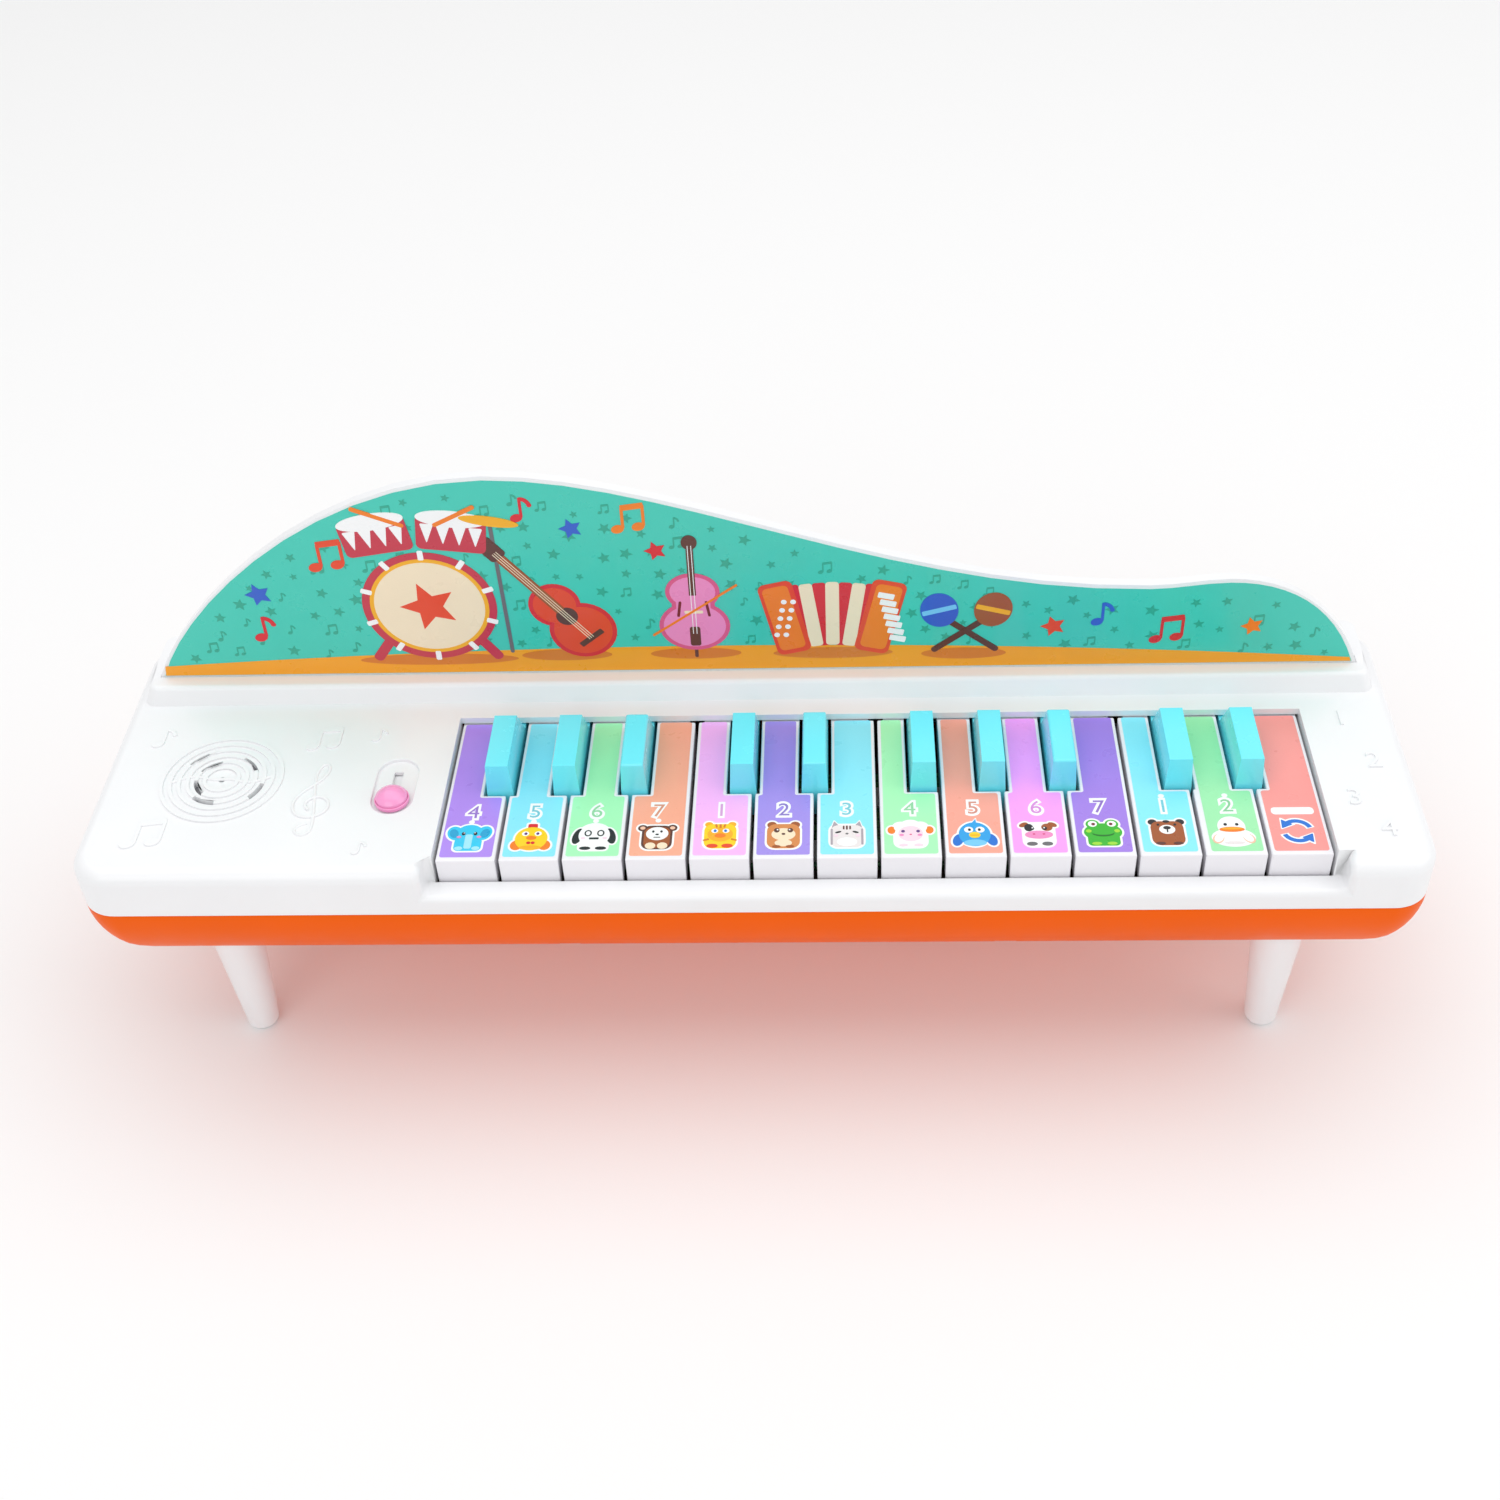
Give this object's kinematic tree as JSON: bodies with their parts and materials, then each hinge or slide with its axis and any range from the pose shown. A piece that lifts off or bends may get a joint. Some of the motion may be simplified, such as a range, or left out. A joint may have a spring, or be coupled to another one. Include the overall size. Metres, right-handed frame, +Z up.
{
  "type": "toy electronic keyboard",
  "caption": "Toy electronic keyboard on four peg-in legs, with hinged keys, a slide switch, a speaker grille, a battery door and a wavy upright backboard.",
  "frame": {"origin": "centre of the overall box at floor level, between the feet", "axes": "+X to the player's right along the keys, +Y from the player towards the backboard, +Z up"},
  "size_m": [0.36, 0.1, 0.1534],
  "materials": {
    "white_gloss": "moulded glossy white",
    "orange_tray": "moulded glossy orange",
    "board_print": "printed film",
    "key_white": "moulded glossy white with printed stickers",
    "sharp_blue": "moulded light blue",
    "pink_knob": "moulded pink",
    "steel": "plated steel",
    "dark_inner": "moulded",
    "circuit_board": "solder-masked board",
    "dome_rubber": "silicone",
    "black_plastic": "moulded",
    "speaker_frame": "painted",
    "magnet": "ferrite and steel",
    "speaker_paper": "pressed cone",
    "cell_jacket": "printed steel can",
    "red_wire": "insulated wire",
    "black_wire": "insulated wire",
    "grey_ribbon": "insulated ribbon"
  },
  "bodies": {
    "case": {"top_shell": "white_gloss", "bottom_shell": "orange_tray", "backboard": "white_gloss", "board_print": "board_print", "key_pivot_rod": "steel", "key_bed": "dark_inner", "key_contact_board": "circuit_board", "white_dome_strip": "dome_rubber", "sharp_dome_strip": "dome_rubber", "main_board": "circuit_board", "sound_chip": "black_plastic", "slide_switch_body": "steel", "speaker_basket": "speaker_frame", "speaker_magnet": "magnet", "speaker_cone": "speaker_paper", "cell_1": "cell_jacket", "cell_2": "cell_jacket", "cell_3": "cell_jacket", "cell_springs": "steel", "cell_plates": "steel", "case_screws": "steel", "bed_screws": "steel", "contact_board_screws": "steel", "main_board_screws": "steel", "speaker_screws": "steel", "leg_front_left": "white_gloss", "leg_front_right": "white_gloss", "leg_rear_left": "white_gloss", "leg_rear_right": "white_gloss", "speaker_wires": "red_wire", "cell_wires": "black_wire", "key_ribbon": "grey_ribbon"},
    "switch_knob": {"switch_knob": "pink_knob"},
    "battery_door": {"battery_door": "orange_tray", "battery_door_screws": "steel"},
    "white_key_01": {"white_key_01": "key_white"},
    "white_key_02": {"white_key_02": "key_white"},
    "white_key_03": {"white_key_03": "key_white"},
    "white_key_04": {"white_key_04": "key_white"},
    "white_key_05": {"white_key_05": "key_white"},
    "white_key_06": {"white_key_06": "key_white"},
    "white_key_07": {"white_key_07": "key_white"},
    "white_key_08": {"white_key_08": "key_white"},
    "white_key_09": {"white_key_09": "key_white"},
    "white_key_10": {"white_key_10": "key_white"},
    "white_key_11": {"white_key_11": "key_white"},
    "white_key_12": {"white_key_12": "key_white"},
    "white_key_13": {"white_key_13": "key_white"},
    "white_key_14": {"white_key_14": "key_white"},
    "sharp_key_01": {"sharp_key_01": "sharp_blue"},
    "sharp_key_02": {"sharp_key_02": "sharp_blue"},
    "sharp_key_03": {"sharp_key_03": "sharp_blue"},
    "sharp_key_04": {"sharp_key_04": "sharp_blue"},
    "sharp_key_05": {"sharp_key_05": "sharp_blue"},
    "sharp_key_06": {"sharp_key_06": "sharp_blue"},
    "sharp_key_07": {"sharp_key_07": "sharp_blue"},
    "sharp_key_08": {"sharp_key_08": "sharp_blue"},
    "sharp_key_09": {"sharp_key_09": "sharp_blue"},
    "sharp_key_10": {"sharp_key_10": "sharp_blue"}
  },
  "joints": [
    {"name": "white_key_01_press", "type": "hinge", "parent": "case", "child": "white_key_01", "pos_m": [0, 0.0225, 0.0745], "axis": [1, 0, 0], "range_deg": [0, 2.6], "stiffness_Nm_per_rad": 0.25, "springref_deg": -3.44, "deforming": ["white_dome_strip"]},
    {"name": "white_key_02_press", "type": "hinge", "parent": "case", "child": "white_key_02", "pos_m": [0, 0.0225, 0.0745], "axis": [1, 0, 0], "range_deg": [0, 2.6], "stiffness_Nm_per_rad": 0.25, "springref_deg": -3.44, "deforming": ["white_dome_strip"]},
    {"name": "white_key_03_press", "type": "hinge", "parent": "case", "child": "white_key_03", "pos_m": [0, 0.0225, 0.0745], "axis": [1, 0, 0], "range_deg": [0, 2.6], "stiffness_Nm_per_rad": 0.25, "springref_deg": -3.44, "deforming": ["white_dome_strip"]},
    {"name": "white_key_04_press", "type": "hinge", "parent": "case", "child": "white_key_04", "pos_m": [0, 0.0225, 0.0745], "axis": [1, 0, 0], "range_deg": [0, 2.6], "stiffness_Nm_per_rad": 0.25, "springref_deg": -3.44, "deforming": ["white_dome_strip"]},
    {"name": "white_key_05_press", "type": "hinge", "parent": "case", "child": "white_key_05", "pos_m": [0, 0.0225, 0.0745], "axis": [1, 0, 0], "range_deg": [0, 2.6], "stiffness_Nm_per_rad": 0.25, "springref_deg": -3.44, "deforming": ["white_dome_strip"]},
    {"name": "white_key_06_press", "type": "hinge", "parent": "case", "child": "white_key_06", "pos_m": [0, 0.0225, 0.0745], "axis": [1, 0, 0], "range_deg": [0, 2.6], "stiffness_Nm_per_rad": 0.25, "springref_deg": -3.44, "deforming": ["white_dome_strip"]},
    {"name": "white_key_07_press", "type": "hinge", "parent": "case", "child": "white_key_07", "pos_m": [0, 0.0225, 0.0745], "axis": [1, 0, 0], "range_deg": [0, 2.6], "stiffness_Nm_per_rad": 0.25, "springref_deg": -3.44, "deforming": ["white_dome_strip"]},
    {"name": "white_key_08_press", "type": "hinge", "parent": "case", "child": "white_key_08", "pos_m": [0, 0.0225, 0.0745], "axis": [1, 0, 0], "range_deg": [0, 2.6], "stiffness_Nm_per_rad": 0.25, "springref_deg": -3.44, "deforming": ["white_dome_strip"]},
    {"name": "white_key_09_press", "type": "hinge", "parent": "case", "child": "white_key_09", "pos_m": [0, 0.0225, 0.0745], "axis": [1, 0, 0], "range_deg": [0, 2.6], "stiffness_Nm_per_rad": 0.25, "springref_deg": -3.44, "deforming": ["white_dome_strip"]},
    {"name": "white_key_10_press", "type": "hinge", "parent": "case", "child": "white_key_10", "pos_m": [0, 0.0225, 0.0745], "axis": [1, 0, 0], "range_deg": [0, 2.6], "stiffness_Nm_per_rad": 0.25, "springref_deg": -3.44, "deforming": ["white_dome_strip"]},
    {"name": "white_key_11_press", "type": "hinge", "parent": "case", "child": "white_key_11", "pos_m": [0, 0.0225, 0.0745], "axis": [1, 0, 0], "range_deg": [0, 2.6], "stiffness_Nm_per_rad": 0.25, "springref_deg": -3.44, "deforming": ["white_dome_strip"]},
    {"name": "white_key_12_press", "type": "hinge", "parent": "case", "child": "white_key_12", "pos_m": [0, 0.0225, 0.0745], "axis": [1, 0, 0], "range_deg": [0, 2.6], "stiffness_Nm_per_rad": 0.25, "springref_deg": -3.44, "deforming": ["white_dome_strip"]},
    {"name": "white_key_13_press", "type": "hinge", "parent": "case", "child": "white_key_13", "pos_m": [0, 0.0225, 0.0745], "axis": [1, 0, 0], "range_deg": [0, 2.6], "stiffness_Nm_per_rad": 0.25, "springref_deg": -3.44, "deforming": ["white_dome_strip"]},
    {"name": "white_key_14_press", "type": "hinge", "parent": "case", "child": "white_key_14", "pos_m": [0, 0.0225, 0.0745], "axis": [1, 0, 0], "range_deg": [0, 2.6], "stiffness_Nm_per_rad": 0.25, "springref_deg": -3.44, "deforming": ["white_dome_strip"]},
    {"name": "sharp_key_01_press", "type": "hinge", "parent": "case", "child": "sharp_key_01", "pos_m": [0, 0.0225, 0.0745], "axis": [1, 0, 0], "range_deg": [0, 3.4], "stiffness_Nm_per_rad": 0.25, "springref_deg": -3.44, "deforming": ["sharp_dome_strip"]},
    {"name": "sharp_key_02_press", "type": "hinge", "parent": "case", "child": "sharp_key_02", "pos_m": [0, 0.0225, 0.0745], "axis": [1, 0, 0], "range_deg": [0, 3.4], "stiffness_Nm_per_rad": 0.25, "springref_deg": -3.44, "deforming": ["sharp_dome_strip"]},
    {"name": "sharp_key_03_press", "type": "hinge", "parent": "case", "child": "sharp_key_03", "pos_m": [0, 0.0225, 0.0745], "axis": [1, 0, 0], "range_deg": [0, 3.4], "stiffness_Nm_per_rad": 0.25, "springref_deg": -3.44, "deforming": ["sharp_dome_strip"]},
    {"name": "sharp_key_04_press", "type": "hinge", "parent": "case", "child": "sharp_key_04", "pos_m": [0, 0.0225, 0.0745], "axis": [1, 0, 0], "range_deg": [0, 3.4], "stiffness_Nm_per_rad": 0.25, "springref_deg": -3.44, "deforming": ["sharp_dome_strip"]},
    {"name": "sharp_key_05_press", "type": "hinge", "parent": "case", "child": "sharp_key_05", "pos_m": [0, 0.0225, 0.0745], "axis": [1, 0, 0], "range_deg": [0, 3.4], "stiffness_Nm_per_rad": 0.25, "springref_deg": -3.44, "deforming": ["sharp_dome_strip"]},
    {"name": "sharp_key_06_press", "type": "hinge", "parent": "case", "child": "sharp_key_06", "pos_m": [0, 0.0225, 0.0745], "axis": [1, 0, 0], "range_deg": [0, 3.4], "stiffness_Nm_per_rad": 0.25, "springref_deg": -3.44, "deforming": ["sharp_dome_strip"]},
    {"name": "sharp_key_07_press", "type": "hinge", "parent": "case", "child": "sharp_key_07", "pos_m": [0, 0.0225, 0.0745], "axis": [1, 0, 0], "range_deg": [0, 3.4], "stiffness_Nm_per_rad": 0.25, "springref_deg": -3.44, "deforming": ["sharp_dome_strip"]},
    {"name": "sharp_key_08_press", "type": "hinge", "parent": "case", "child": "sharp_key_08", "pos_m": [0, 0.0225, 0.0745], "axis": [1, 0, 0], "range_deg": [0, 3.4], "stiffness_Nm_per_rad": 0.25, "springref_deg": -3.44, "deforming": ["sharp_dome_strip"]},
    {"name": "sharp_key_09_press", "type": "hinge", "parent": "case", "child": "sharp_key_09", "pos_m": [0, 0.0225, 0.0745], "axis": [1, 0, 0], "range_deg": [0, 3.4], "stiffness_Nm_per_rad": 0.25, "springref_deg": -3.44, "deforming": ["sharp_dome_strip"]},
    {"name": "sharp_key_10_press", "type": "hinge", "parent": "case", "child": "sharp_key_10", "pos_m": [0, 0.0225, 0.0745], "axis": [1, 0, 0], "range_deg": [0, 3.4], "stiffness_Nm_per_rad": 0.25, "springref_deg": -3.44, "deforming": ["sharp_dome_strip"]},
    {"name": "switch_slide", "type": "slide", "parent": "case", "child": "switch_knob", "axis": [0, 1, 0], "range_m": [0, 0.0095]},
    {"name": "battery_door_lift", "type": "slide", "parent": "case", "child": "battery_door", "axis": [0, 0, -1], "range_m": [0, 0.03]}
  ]
}
